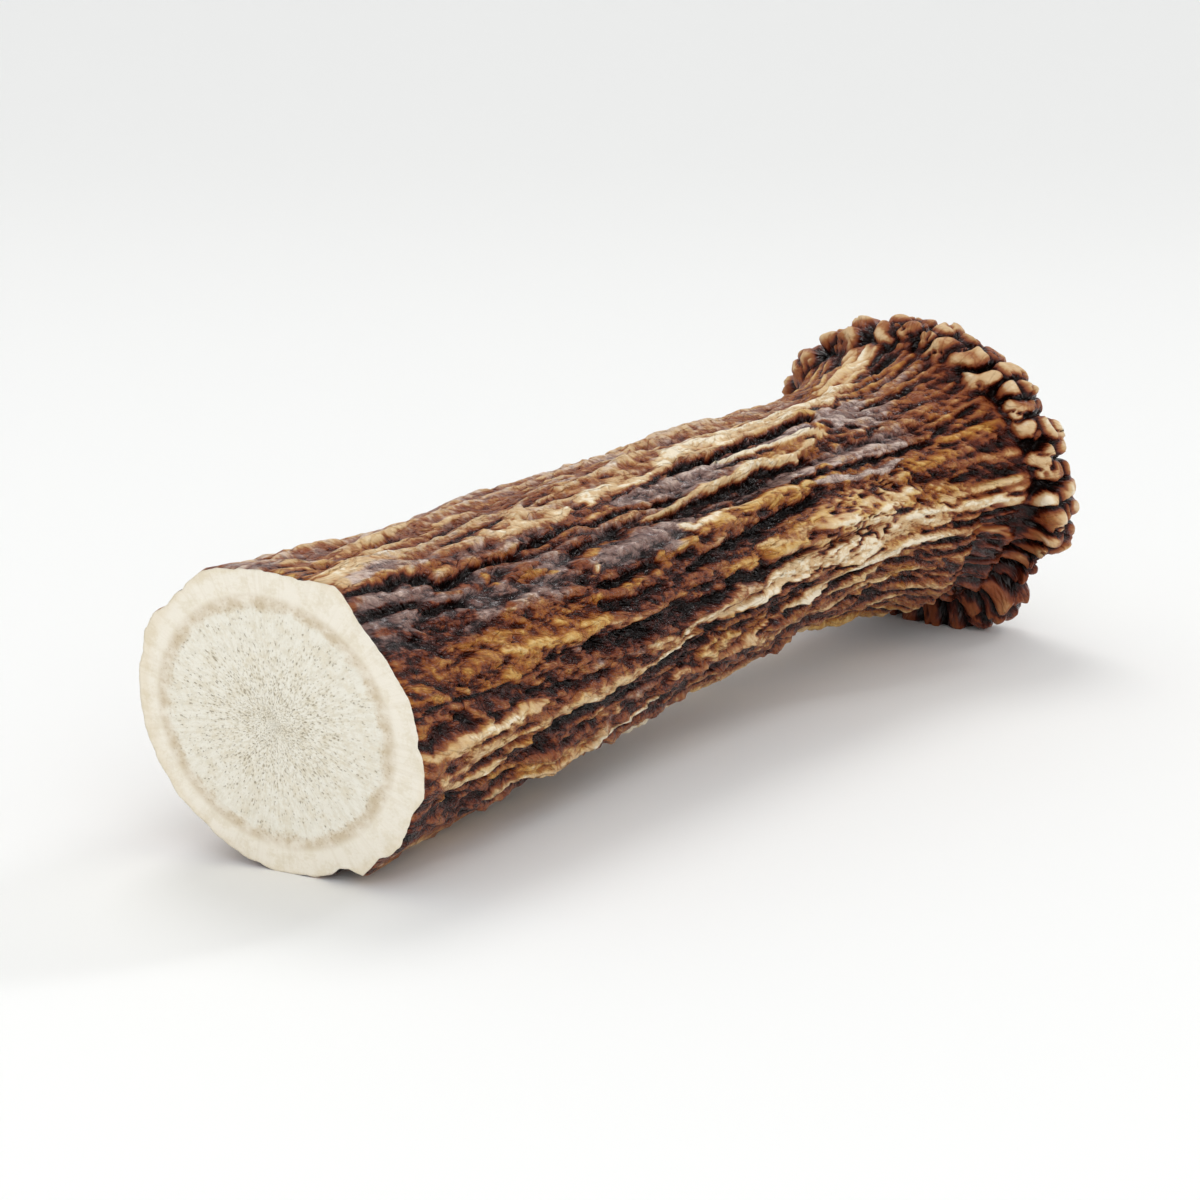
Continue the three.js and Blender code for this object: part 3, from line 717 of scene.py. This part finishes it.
# ---- The sawn face and the mesh ----
# The cut is flat, across compact bone and the spongy core. Its rings close the sawn end, the seal's last ring
# is closed by one point, and the whole antler is one mesh with three finishes: skin, sawn face and seal.
FACE_RINGS = (0.985, 0.93, 0.85, 0.74, 0.62, 0.5, 0.38, 0.27, 0.17, 0.08)
face_radius = radius_grid[0][None, :] * np.array(FACE_RINGS)[:, None]
face_points = placed(np.zeros_like(face_radius), face_radius, turn[None, :])
face_middle = placed(np.zeros(1), np.zeros(1), np.zeros(1))
seal_middle = skin_points[-1].mean(axis=0, keepdims=True)

vertices = np.concatenate([
    face_points[::-1].reshape(-1, 3), skin_points.reshape(-1, 3), face_middle, seal_middle,
]) / 1000
ring_count = len(FACE_RINGS) + rows
column = np.arange(COLUMNS)
next_column = np.roll(column, -1)
ring_start = np.arange(ring_count - 1)[:, None] * COLUMNS
first, beside = ring_start + column, ring_start + next_column
quads = np.stack([first, beside, beside + COLUMNS, first + COLUMNS], axis=-1).reshape(-1, 4)
last_ring = (ring_count - 1) * COLUMNS
face_end, seal_end = np.full(COLUMNS, ring_count * COLUMNS), np.full(COLUMNS, ring_count * COLUMNS + 1)
face_fan = np.stack([column, face_end, next_column], axis=-1)
seal_fan = np.stack([last_ring + column, last_ring + next_column, seal_end], axis=-1)

mesh = bpy.data.meshes.new("antler_bone")
mesh.from_pydata(vertices.tolist(), [], quads.tolist() + face_fan.tolist() + seal_fan.tolist())
mesh.update()
antler = bpy.data.objects.new("antler_bone", mesh)
bpy.context.collection.objects.link(antler)

SEAL_START = int(np.argmax(past_crown > 9))
SKIN, SAWN, SEAL = 0, 1, 2
finish = np.full(ring_count - 1, SKIN)
finish[:len(FACE_RINGS)] = SAWN
finish[len(FACE_RINGS) + SEAL_START:] = SEAL
finish = np.concatenate([np.repeat(finish, COLUMNS), np.full(COLUMNS, SAWN), np.full(COLUMNS, SEAL)])
mesh.polygons.foreach_set("material_index", finish)
mesh.polygons.foreach_set("use_smooth", np.ones(len(finish), bool))


def over_mesh(name, skin_values):
    """Stores a field of the skin on the mesh's points."""
    kind = "FLOAT_VECTOR" if skin_values.ndim == 3 else "FLOAT"
    size = skin_values.shape[2:]
    face = np.zeros((len(FACE_RINGS) * COLUMNS, *size))
    ends = np.zeros((2, *size))
    values = np.concatenate([face, skin_values.reshape(-1, *size), ends]).astype(np.float32)
    mesh.attributes.new(name, kind, "POINT").data.foreach_set(
        "vector" if kind == "FLOAT_VECTOR" else "value", values.ravel())


over_mesh("grain", wound(0))
over_mesh("wrinkle", wound(WRINKLE_TWIST))
over_mesh("fine", wound(2 * WRINKLE_TWIST))
over_mesh("calm", 0.45 * in_rim + 0.45 * neck + 0.35 * pitted + 0.35 * under)
for n, name in enumerate(("pale", "amber", "cool")):
    over_mesh(name, tone[..., n])

# The flat places of the sawn face and the seal, to the side and up from their middles, in millimetres.
flat = np.zeros((len(vertices), 3), np.float32)
disc = np.concatenate([face_radius[::-1], radius_grid])
flat[:-2, 0] = (disc * np.sin(turn)).ravel()
flat[:-2, 1] = (disc * np.cos(turn)).ravel()
mesh.attributes.new("flat", "FLOAT_VECTOR", "POINT").data.foreach_set("vector", flat.ravel())

# The unwrapped skin, with the two discs beside it.
SKIN_WIDE, DISC_SIZE = 0.70, 0.0058
SIDE_MARGIN, END_MARGIN = 0.005, 0.01
SAWN_SPOT, SEAL_SPOT = (0.855, 0.15), (0.855, 0.5)
uv = mesh.uv_layers.new(name="OFBake")
corners = np.array([i for p in mesh.polygons for i in p.vertices])
sizes = np.array([len(p.vertices) for p in mesh.polygons])
owner = np.repeat(np.arange(len(sizes)), sizes)
ring, place = np.divmod(corners, COLUMNS)
row = np.clip(ring - len(FACE_RINGS), 0, rows - 1)
around = ring_share[place] / 360
turned_over = (finish[owner] == SKIN) & (around < 0.25) & (owner % COLUMNS == COLUMNS - 1)
skin_across = SIDE_MARGIN + SKIN_WIDE * (around + turned_over)
skin_up = END_MARGIN + (1 - 2 * END_MARGIN) * travel[row] / travel[SEAL_START]
skin_uv = np.stack([skin_across, skin_up], axis=-1)
where = finish[owner][:, None]
disc_uv = flat[corners][:, :2] * DISC_SIZE + np.where(where == SAWN, SAWN_SPOT, SEAL_SPOT)
uvs = np.where(where == SKIN, skin_uv, disc_uv)
uv.data.foreach_set("uv", uvs.astype(np.float32).ravel())


# ---- The skin's finish ----
# Weathered antler skin: umber where it is unworn, amber and tan on the ridges, cream where they are rubbed to
# the bone, nearly black and a little glossy in the hollows. The borders between the tones are ragged streaks.
class Socket:
    """A shader socket that can be added, multiplied and so on, each of which makes a Math node."""

    def __init__(self, shader, socket):
        self.shader, self.socket = shader, socket

    def math(self, operation, *values):
        return self.shader.node("ShaderNodeMath", {"operation": operation}, dict(enumerate(values)))

    def __add__(self, other):
        return self.math("ADD", self, other)

    __radd__ = __add__

    def __mul__(self, other):
        return self.math("MULTIPLY", self, other)

    __rmul__ = __mul__

    def __sub__(self, other):
        return self.math("SUBTRACT", self, other)

    def __rsub__(self, other):
        return self.math("SUBTRACT", other, self)

    def __rtruediv__(self, other):
        return self.math("DIVIDE", other, self)

    def __pow__(self, other):
        return self.math("POWER", self, other)

    def sine(self):
        return self.math("SINE", self)

    def size(self):
        return self.math("ABSOLUTE", self)

    def above(self, low, high):
        """0 where this is below low, and 1 where it is above high."""
        return self.shader.node("ShaderNodeMapRange", {"interpolation_type": "SMOOTHSTEP"},
                                {"Value": self, "From Min": low, "From Max": high})


class Shader:
    """A material's node tree."""

    def __init__(self, name):
        self.material = bpy.data.materials.new(name)
        self.material.use_nodes = True
        self.tree = self.material.node_tree
        self.surface = self.tree.nodes["Principled BSDF"]

    def set(self, node, name, value):
        socket = node.inputs[name]
        if isinstance(value, Socket):
            self.tree.links.new(value.socket, socket)
        else:
            socket.default_value = value

    def node(self, kind, settings, inputs, output=0):
        node = self.tree.nodes.new(kind)
        for name, value in settings.items():
            setattr(node, name, value)
        for name, value in inputs.items():
            self.set(node, name, value)
        return Socket(self, node.outputs[output])

    def attribute(self, name, vector=False):
        return self.node("ShaderNodeAttribute", {"attribute_name": name}, {}, "Vector" if vector else "Fac")

    def stretch(self, place, by):
        return self.node("ShaderNodeVectorMath", {"operation": "MULTIPLY"}, {0: place, 1: by})

    def noise(self, place, stretch, detail=4.0, rough=0.55, warp=0.0):
        return self.node("ShaderNodeTexNoise", {}, {
            "Vector": self.stretch(place, stretch), "Scale": 1.0, "Detail": detail, "Roughness": rough,
            "Distortion": warp,
        })

    def mix(self, share, first, second):
        return self.node("ShaderNodeMix", {"data_type": "RGBA"}, {0: share, 6: first, 7: second}, 2)

    def ramp(self, share, codes):
        """Colours, evenly spaced from 0 to 1."""
        result = self.node("ShaderNodeValToRGB", {}, {0: share})
        stops = result.socket.node.color_ramp.elements
        for n, code in enumerate(codes[1:-1], 1):
            stops.new(n / (len(codes) - 1))
        for stop, code in zip(stops, codes):
            stop.color = colour(code)
        return result

    def finish(self, **values):
        for name, value in values.items():
            self.set(self.surface, name.replace("_", " "), value)
        return self.material


def colour(code):
    """A shader colour from the six figures a paint chart gives."""
    parts = [int(code[k:k + 2], 16) / 255 for k in (0, 2, 4)]
    return (*[p / 12.92 if p <= 0.04045 else ((p + 0.055) / 1.055) ** 2.4 for p in parts], 1.0)


skin = Shader("antler_skin")
grain = skin.attribute("grain", vector=True)
winding = skin.attribute("wrinkle", vector=True)
streak = skin.noise(grain, (0.13, 0.62, 0.62), 1.5, 0.5, 0.4)
curl = skin.noise(grain, (0.50, 0.30, 0.30), 2.0, 0.5, 1.5)
cloud = skin.noise(grain, (0.26, 0.22, 0.22), 2.0, 0.55, 1.2)
blob = skin.noise(grain, (0.70, 0.75, 0.75), 1.5, 0.5, 0.8)
vein = (skin.noise(grain, (0.16, 0.42, 0.42), 2.0, 0.5, 0.8) - 0.5).size()
crease = (skin.noise(winding, (0.40, 0.95, 0.95), 1.0, 0.5, 0.5) - 0.5).size()
speck = skin.noise(grain, (1.3, 2.0, 2.0), 1.5, 0.55)
how_cool = skin.attribute("cool")
how_amber = skin.attribute("amber")
rugged = 1 - skin.attribute("calm") - 0.15 * how_amber
pale = skin.attribute("pale") - 0.03
mottle = (0.5 - 0.3 * pale) * (cloud - 0.5) + 0.25 * (streak - 0.5) + 0.34 * (curl - 0.5)
mottle = mottle + 0.36 * (blob - 0.5) + 0.2 * (speck - 0.5) + 0.3 * (crease - 0.08)
mottle = mottle - 0.12 * (1 - vein.above(0.0, 0.03))
pale = pale + rugged * mottle

# The tones draw towards a dark, a middle and a pale level, so that the borders between them are crisp.
LEVEL_STEP, DARK_LEVEL = 0.34, 0.12
pale = pale - 0.5 * LEVEL_STEP / (2 * math.pi) * ((pale - DARK_LEVEL) * (2 * math.pi / LEVEL_STEP)).sine()

WARM_BONE = ("120604", "360f07", "5c2413", "884626", "aa7246", "c89f70", "e0c49a", "f2e4ca")
AMBER_BONE = ("180703", "421405", "6c2b0b", "99561e", "be883f", "d3a964", "e2c48c", "f1e1bf")
COOL_BONE = ("150a0a", "33201f", "593f3c", "84645c", "a88b80", "c8ada0", "ddc9bb", "efe4d9")
warm_bone = skin.ramp(pale, WARM_BONE)
amber_bone = skin.ramp(pale, AMBER_BONE)
cool_bone = skin.ramp(pale, COOL_BONE)
amber_patches = (how_amber + 0.8 * (cloud - 0.5) + 0.5 * (curl - 0.5)).above(0.2, 0.72)
cool_patches = (how_cool + 0.9 * (streak - 0.5) + 0.9 * (curl - 0.5)).above(0.28, 0.76)
base = skin.mix(cool_patches, skin.mix(amber_patches, warm_bone, amber_bone), cool_bone)

fine_place = skin.attribute("fine", vector=True)
fine_crease = (skin.noise(fine_place, (0.8, 2.0, 2.0), 1.0, 0.5, 0.5) - 0.5).size()
height = (1.3 - 0.9 * pale + 0.9 * how_cool) * crease + (0.45 - 0.45 * pale + 0.45 * how_cool) * fine_crease
height = height + 0.2 * blob + 0.1 * vein.above(0.0, 0.05)
bump = skin.node("ShaderNodeBump", {}, {"Strength": 1.0, "Distance": 0.0016, "Height": rugged * height})
rough = 0.18 + 0.40 * pale + 0.15 * (speck - 0.5)
coat = 0.35 * how_cool.above(0.4, 0.8)
skin.finish(Base_Color=base, Roughness=rough, Normal=bump, Coat_Weight=coat, Coat_Roughness=0.22)
skin.set(skin.surface, "Specular IOR Level", 0.22)

# ---- The sawn face's finish ----
# Bare bone: a cream rim of compact bone with faint rays, a thin tan line, and the off-white spongy core, with
# small pores that lie in rays round its middle.
CORE_MIDDLE = (-1.2, -0.2, 0.0)
CORE_RADIUS = (16.8, 16.1)
RING_PLACE, RING_SHARPNESS = 0.99, 12.0  # of the tan line, in the core's radii
RIM_STAIN_FROM, RIM_STAIN_TO = 19.4, 20.8

sawn = Shader("sawn_bone")
flat_place = sawn.attribute("flat", vector=True)
from_core = sawn.node("ShaderNodeVectorMath", {"operation": "SUBTRACT"}, {0: flat_place, 1: CORE_MIDDLE})
in_core_radii = sawn.stretch(from_core, (1 / CORE_RADIUS[0], 1 / CORE_RADIUS[1], 0.0))


def length_of(shader, vector):
    return shader.node("ShaderNodeVectorMath", {"operation": "LENGTH"}, {0: vector}, "Value")


def scaled(shader, vector, by):
    return shader.node("ShaderNodeVectorMath", {"operation": "SCALE"}, {0: vector, "Scale": by})


blotch = sawn.noise(flat_place, (0.45, 0.45, 0.45), 4.0)
grit = sawn.noise(flat_place, (2.6, 2.6, 2.6), 3.0)
core = length_of(sawn, in_core_radii) + 0.10 * (blotch - 0.5) + 0.05 * (grit - 0.5)
outwards = length_of(sawn, from_core) + 0.3
rays = sawn.noise(scaled(sawn, from_core, 1 / outwards), (22.0, 22.0, 22.0), 3.0, 0.6)
spongy = 1 - core.above(0.90, 1.0)

# The pores are drawn out along the rays: towards the middle they are closer together and darker.
pore_place = scaled(sawn, from_core, outwards ** -0.6)
inwards = 1 - core.above(0.1, 1.0)


def pores(scale, size):
    """1 in pores of about this size, of which there are more the greater the scale."""
    cells = sawn.node("ShaderNodeTexVoronoi", {"feature": "F1"}, {"Vector": pore_place, "Scale": scale})
    wide = size * (0.55 + 0.75 * inwards) + 0.5 * (blotch - 0.5) + 0.6 * (grit - 0.5)
    return (wide - cells).above(-0.05, 0.06) * spongy


large_pores, small_pores = pores(8.0, 0.16), pores(14.0, 0.24)
fibres = sawn.noise(pore_place, (9.0, 9.0, 9.0), 2.0, 0.6).above(0.45, 0.62) * spongy
off_ring = (core - RING_PLACE) * RING_SHARPNESS
ring = (1 - off_ring * off_ring).above(0.0, 1.3) * (0.25 + blotch).above(0.45, 0.95)
edge = (length_of(sawn, flat_place) + 1.2 * (blotch - 0.5)).above(RIM_STAIN_FROM, RIM_STAIN_TO)
FACE_STAINS = [
    ((blotch + 0.5 * (grit - 0.5)).above(0.42, 0.7) * 0.42, "dccfb2"),
    (rays.above(0.45, 0.65) * 0.14, "cdbd9c"),
    (fibres * (0.16 + 0.3 * inwards), "c6ba9c"),
    (ring * 0.6, "b0925e"),
    (ring * grit.above(0.55, 0.7) * 0.5, "8f6c42"),
    (edge * 0.22, "d8bf8e"),
    (small_pores * 0.35, "a8946c"),
    (large_pores * 0.5, "8a7650"),
]
face = sawn.mix(spongy, colour("f4edde"), colour("f0ecdf"))
for share, code in FACE_STAINS:
    face = sawn.mix(share, face, colour(code))
face_height = 0.5 * grit - large_pores - 0.6 * small_pores
face_bump = sawn.node("ShaderNodeBump", {}, {"Strength": 0.7, "Distance": 0.00025, "Height": face_height})
sawn.finish(Base_Color=face, Roughness=0.6, Normal=face_bump)

# ---- The seal's finish ----
# The rough bone that closed the antler's foot, where it came away from the skull when it was shed. It is pale
# and pitted, and brown towards the burr.
seal_bone = Shader("seal_bone")
seal_place = seal_bone.attribute("flat", vector=True)
knolls = seal_bone.noise(seal_place, (0.35, 0.35, 0.35), 5.0, 0.6)
pits = seal_bone.noise(seal_place, (1.4, 1.4, 1.4), 3.0, 0.55)
towards_burr = (length_of(seal_bone, seal_place) + 8.0 * (knolls - 0.5)).above(15.0, 23.0)
seal_colour = seal_bone.mix(knolls.above(0.35, 0.65), colour("b09a78"), colour("d8c8a6"))
seal_colour = seal_bone.mix(towards_burr, seal_colour, colour("5a3823"))
seal_colour = seal_bone.mix(pits.above(0.58, 0.68) * 0.8, seal_colour, colour("3a2616"))
seal_height = knolls - 1.2 * pits.above(0.55, 0.7)
seal_bump = seal_bone.node("ShaderNodeBump", {}, {"Strength": 1.0, "Distance": 0.0006, "Height": seal_height})
seal_bone.finish(Base_Color=seal_colour, Roughness=0.6, Normal=seal_bump)

for part in (skin, sawn, seal_bone):
    mesh.materials.append(part.material)
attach(antler, "root")
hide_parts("antler")

# ---- The table ----
# A plain sheet of pale dull paper. It runs flat under the antler and curves up far behind it, so that there is
# no edge between floor and wall.
SHEET_NEAR, SHEET_FAR, SHEET_WIDE, SHEET_BEND, SHEET_TOP = -3.0, 1.2, 6.0, 3.0, 5.0
BEND_STEPS = 30
VIEW = Vector((0.79725, 0.55868, -0.22863)).normalized()
ahead = Vector((VIEW.x, VIEW.y, 0)).normalized()
aside = Vector((ahead.y, -ahead.x, 0))
sheet_run = [(SHEET_NEAR, 0.0), (SHEET_FAR, 0.0)]
for k in range(1, BEND_STEPS + 1):
    bend = math.radians(90 * k / BEND_STEPS)
    sheet_run.append((SHEET_FAR + SHEET_BEND * math.sin(bend), SHEET_BEND * (1 - math.cos(bend))))
sheet_run.append((SHEET_FAR + SHEET_BEND, SHEET_TOP))
sheet_points = []
for run, rise in sheet_run:
    for wide in (-SHEET_WIDE, SHEET_WIDE):
        sheet_points.append(ahead * run + aside * wide + Vector((0, 0, rise)))
sheet_faces = [(2 * k, 2 * k + 1, 2 * k + 3, 2 * k + 2) for k in range(len(sheet_run) - 1)]
sheet_mesh = bpy.data.meshes.new("table")
sheet_mesh.from_pydata(sheet_points, [], sheet_faces)
sheet_mesh.polygons.foreach_set("use_smooth", np.ones(len(sheet_faces), bool))
table = bpy.data.objects.new("table", sheet_mesh)
bpy.context.collection.objects.link(table)
paper = Shader("table_paper")
sheet_mesh.materials.append(paper.finish(Base_Color=(0.90, 0.90, 0.89, 1), Roughness=0.8))

# ---- Light ----
# A soft light from above and behind, a very broad one from the viewer's side, a stronger one from the far
# right that gives the skin its sheen, and an even pale room.
world = bpy.data.worlds.new("room")
bpy.context.scene.world = world
world.use_nodes = True
world.node_tree.nodes["Background"].inputs["Color"].default_value = (0.97, 0.985, 1.0, 1)
world.node_tree.nodes["Background"].inputs["Strength"].default_value = 0.66


def broad_light(name, toward, power, spread, tint):
    """A light as broad as `spread` degrees of the room, from the direction `toward`."""
    light = bpy.data.lights.new(name, "SUN")
    light.energy, light.angle, light.color = power, math.radians(spread), tint
    lamp = bpy.data.objects.new(name, light)
    lamp.location = toward
    lamp.rotation_euler = (-toward).to_track_quat("-Z", "Y").to_euler()
    bpy.context.collection.objects.link(lamp)


broad_light("key", ahead * 0.65 - aside * 0.15 + Vector((0, 0, 1.1)), 0.8, 28, (1.0, 0.985, 0.96))
broad_light("fill", aside * 0.1 - ahead * 0.9 + Vector((0, 0, 0.6)), 0.82, 50, (1.0, 0.99, 0.975))
broad_light("sheen", ahead * 0.54 + aside * 0.62 + Vector((0, 0, 0.55)), 1.35, 18, (0.97, 0.985, 1.0))

# ---- Camera ----
# Off the sawn end's near corner, looking along the furrowed side and a little downwards. Its place is given
# from the middle of the sawn face, in metres.
CAMERA_FROM_SAWN = (-0.230417, -0.209423)
CAMERA_HEIGHT = 0.1086
camera_data = bpy.data.cameras.new("camera")
camera_data.lens, camera_data.sensor_width = 78.0, 36.0
camera_data.clip_start, camera_data.clip_end = 0.01, 50
camera = bpy.data.objects.new("camera", camera_data)
camera.location = (
    SAWN_MIDDLE[0] / 1000 + CAMERA_FROM_SAWN[0], SAWN_MIDDLE[1] / 1000 + CAMERA_FROM_SAWN[1], CAMERA_HEIGHT)
camera.rotation_euler = VIEW.to_track_quat("-Z", "Y").to_euler()
bpy.context.collection.objects.link(camera)
bpy.context.scene.camera = camera
bpy.context.scene.view_settings.view_transform = "Standard"
